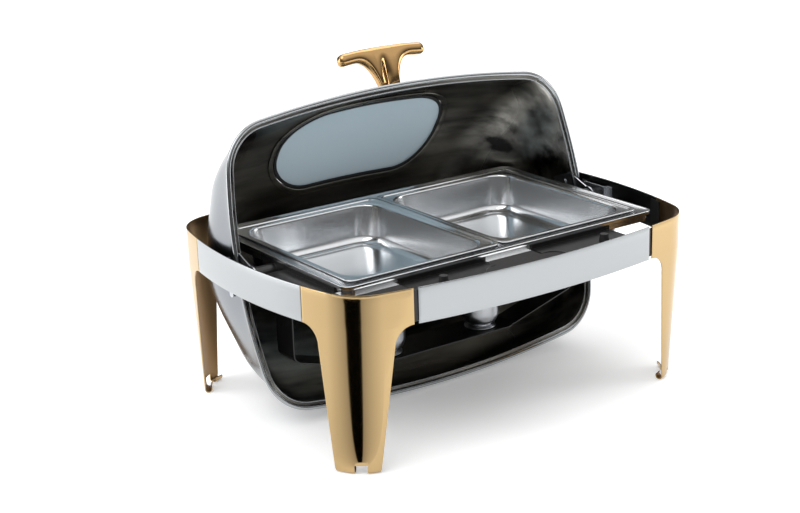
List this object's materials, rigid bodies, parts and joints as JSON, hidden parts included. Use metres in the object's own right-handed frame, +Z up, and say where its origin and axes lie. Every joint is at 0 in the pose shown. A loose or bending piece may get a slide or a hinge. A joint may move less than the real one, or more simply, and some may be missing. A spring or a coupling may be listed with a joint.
{
  "type": "roll top chafer",
  "caption": "Food warmer with a bowed frame on bent corner legs, a water pan holding food pans side by side, a domed windowed lid that rolls back on side pivots, and fuel cups on a low shelf.",
  "frame": {"origin": "on the floor under the middle of the frame", "axes": "+X along the long side to the right, +Z up; the open front faces -Y"},
  "size_m": [0.678, 0.53, 0.5115],
  "materials": {
    "gold_leg": "polished",
    "gold_handle": "polished",
    "mirror_steel": "polished",
    "satin_steel": "satin",
    "dark_steel": "satin",
    "black_rubber": "matte",
    "glass": "clear"
  },
  "bodies": {
    "frame": {"burner_shelf": "dark_steel", "front_bridge_left": "dark_steel", "front_bridge_right": "dark_steel", "inner_bracket_left": "satin_steel", "inner_bracket_right": "satin_steel", "joint_strip_front_left": "dark_steel", "joint_strip_front_right": "dark_steel", "joint_strip_left_front": "dark_steel", "joint_strip_left_rear": "dark_steel", "joint_strip_rear_left": "dark_steel", "joint_strip_rear_right": "dark_steel", "joint_strip_right_front": "dark_steel", "joint_strip_right_rear": "dark_steel", "leg_front_left": "gold_leg", "leg_front_right": "gold_leg", "leg_rear_left": "gold_leg", "leg_rear_right": "gold_leg", "lid_bumper_left": "black_rubber", "lid_bumper_right": "black_rubber", "outer_bracket_left": "satin_steel", "outer_bracket_right": "satin_steel", "pan_support": "mirror_steel", "pivot_pin_left": "satin_steel", "pivot_pin_right": "satin_steel", "pivot_washer_left": "black_rubber", "pivot_washer_right": "black_rubber", "rail_front": "mirror_steel", "rail_left": "mirror_steel", "rail_rear": "mirror_steel", "rail_right": "mirror_steel", "shelf_strap_left": "dark_steel", "shelf_strap_right": "dark_steel", "side_ledge_left": "satin_steel", "side_ledge_right": "satin_steel", "water_pan": "mirror_steel"},
    "lid": {"handle": "gold_handle", "handle_screw_left": "satin_steel", "handle_screw_right": "satin_steel", "lid_arm_left": "satin_steel", "lid_arm_right": "satin_steel", "lid_rim": "mirror_steel", "lid_rivet_left_1": "satin_steel", "lid_rivet_left_2": "satin_steel", "lid_rivet_right_1": "satin_steel", "lid_rivet_right_2": "satin_steel", "lid_shell": "mirror_steel", "window_bezel_inner": "mirror_steel", "window_bezel_outer": "mirror_steel", "window_gasket": "black_rubber", "window_glass": "glass"},
    "food_pan_left_body": {"food_pan_left": "mirror_steel"},
    "fuel_holder_left_body": {"fuel_holder_left": "satin_steel"},
    "food_pan_right_body": {"food_pan_right": "mirror_steel"},
    "fuel_holder_right_body": {"fuel_holder_right": "satin_steel"}
  },
  "joints": [
    {"name": "lid_hinge", "type": "hinge", "parent": "frame", "child": "lid", "pos_m": [0, 0.005, 0.236], "axis": [1, 0, 0], "range_deg": [-50, 103.9]},
    {"name": "food_pan_left_lift", "type": "slide", "parent": "frame", "child": "food_pan_left_body", "axis": [0, 0, 1], "range_m": [0, 0.066]},
    {"name": "food_pan_right_lift", "type": "slide", "parent": "frame", "child": "food_pan_right_body", "axis": [0, 0, 1], "range_m": [0, 0.066]},
    {"name": "fuel_holder_left_lift", "type": "slide", "parent": "frame", "child": "fuel_holder_left_body", "axis": [0, 0, 1], "range_m": [0, 0.025]},
    {"name": "fuel_holder_right_lift", "type": "slide", "parent": "frame", "child": "fuel_holder_right_body", "axis": [0, 0, 1], "range_m": [0, 0.025]}
  ]
}
